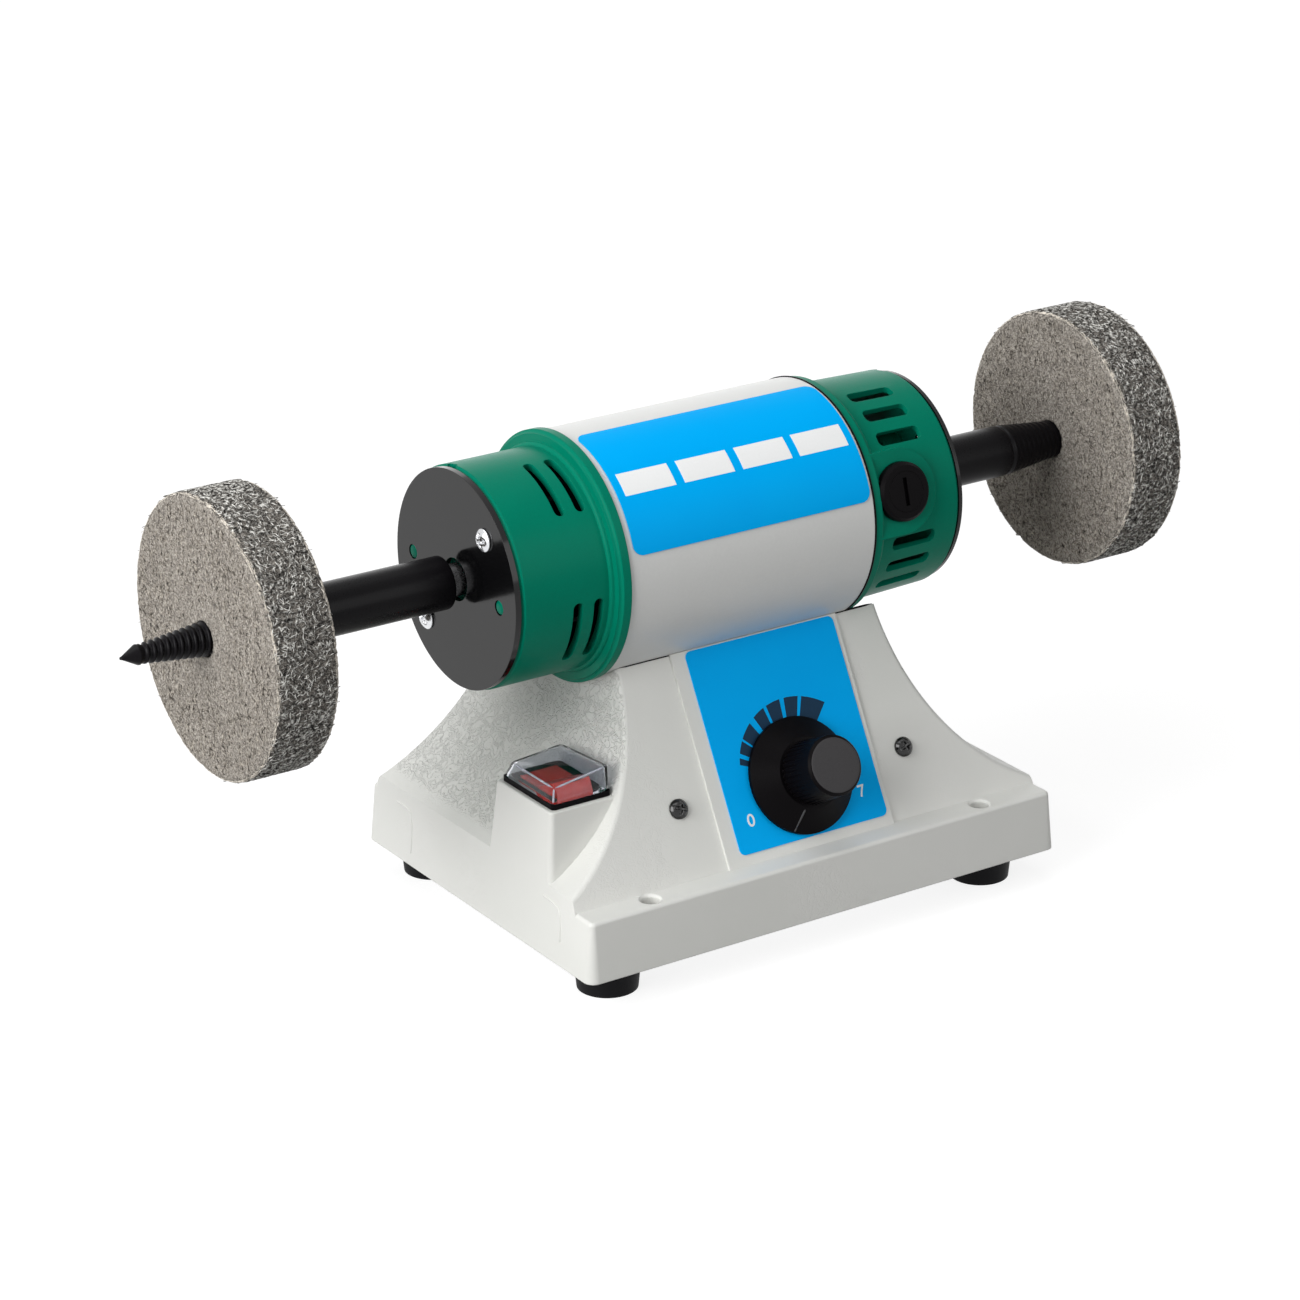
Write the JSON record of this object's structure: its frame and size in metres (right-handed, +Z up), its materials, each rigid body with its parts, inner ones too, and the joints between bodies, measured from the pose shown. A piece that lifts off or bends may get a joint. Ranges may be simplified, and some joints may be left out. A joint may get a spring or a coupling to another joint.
{
  "type": "bench grinder",
  "caption": "Double-ended bench grinding and polishing motor on a cast stand, with a fibre wheel on each tapered spindle, a speed knob, a covered rocker switch and rubber feet.",
  "frame": {"origin": "on the floor under the motor's axis, midway between the tips of the two spindles", "axes": "+X along the motor's axis towards the end cap with the brush gear, -Y towards the user at the control panel, +Z up"},
  "size_m": [0.443, 0.16, 0.1936],
  "materials": {
    "casting_paint": "off-white powder coat with a fine wrinkle",
    "tube_paint": "satin light grey paint",
    "green_plastic": "satin moulded plastic",
    "black_plate": "satin black",
    "black_oxide": "black oxide, satin",
    "wheel_fibre": "bonded fibre",
    "black_plastic": "fine matt",
    "foot_rubber": "matt",
    "blue_label": "printed film",
    "zinc_steel": "bright zinc",
    "black_screw": "black zinc",
    "red_plastic": "gloss",
    "clear_plastic": "clear",
    "bearing_steel": "ground and polished",
    "sheet_steel": "plated sheet",
    "lamination": "stacked sheet",
    "copper": "enamelled wire",
    "carbon": "pressed carbon",
    "board_resin": "solder mask",
    "heat_sink_metal": "extruded",
    "part_plastic": "sleeved"
  },
  "bodies": {
    "stand": {"stand_casting": "casting_paint", "bottom_cover": "sheet_steel", "foot_front_left": "foot_rubber", "foot_front_right": "foot_rubber", "foot_rear_left": "foot_rubber", "foot_rear_right": "foot_rubber", "foot_screws": "zinc_steel", "switch_housing": "black_plastic", "switch_terminals": "copper", "splash_cover": "clear_plastic", "panel_label": "blue_label", "speed_regulator": "sheet_steel", "regulator_nut": "zinc_steel", "board_bracket": "sheet_steel", "panel_screws": "black_screw", "board_spacers": "zinc_steel", "control_board": "board_resin", "capacitor": "part_plastic", "filter_choke": "copper", "heat_sink": "heat_sink_metal", "cord_gland": "foot_rubber", "motor_housing": "tube_paint", "motor_screws": "zinc_steel", "motor_label": "blue_label", "left_end_cap": "green_plastic", "right_end_cap": "green_plastic", "left_end_plate": "black_plate", "left_plate_screws": "zinc_steel", "right_end_plate": "black_plate", "right_plate_screws": "zinc_steel", "brush_holder_front": "black_plastic", "brush_holder_rear": "black_plastic", "carbon_brush_front": "carbon", "carbon_brush_rear": "carbon", "brush_spring_front": "zinc_steel", "brush_spring_rear": "zinc_steel", "brush_cap_front": "black_plastic", "brush_cap_rear": "black_plastic", "stator_core": "lamination", "field_coils": "copper", "left_bearing_outer": "bearing_steel", "right_bearing_outer": "bearing_steel"},
    "rotor": {"motor_shaft": "black_oxide", "armature_core": "lamination", "armature_windings": "copper", "commutator": "copper", "cooling_fan": "black_plastic", "left_bearing_inner": "bearing_steel", "left_bearing_balls": "bearing_steel", "right_bearing_inner": "bearing_steel", "right_bearing_balls": "bearing_steel", "left_spindle": "black_oxide", "right_spindle": "black_oxide", "left_wheel": "wheel_fibre", "right_wheel": "wheel_fibre"},
    "knob": {"speed_knob": "black_plastic", "regulator_shaft": "zinc_steel"},
    "rocker": {"power_rocker": "red_plastic"}
  },
  "joints": [
    {"name": "spindle_spin", "type": "hinge", "parent": "stand", "child": "rotor", "pos_m": [0, 0, 0.1436], "axis": [1, 0, 0], "continuous": true},
    {"name": "speed_turn", "type": "hinge", "parent": "stand", "child": "knob", "pos_m": [0.0235, -0.05309, 0.05885], "axis": [0, 0.8788, -0.4772], "range_deg": [0, 280]},
    {"name": "power_rock", "type": "hinge", "parent": "stand", "child": "rocker", "pos_m": [-0.06451, -0.0275, 0.0655], "axis": [1, 0, 0], "range_deg": [0, 22]}
  ]
}
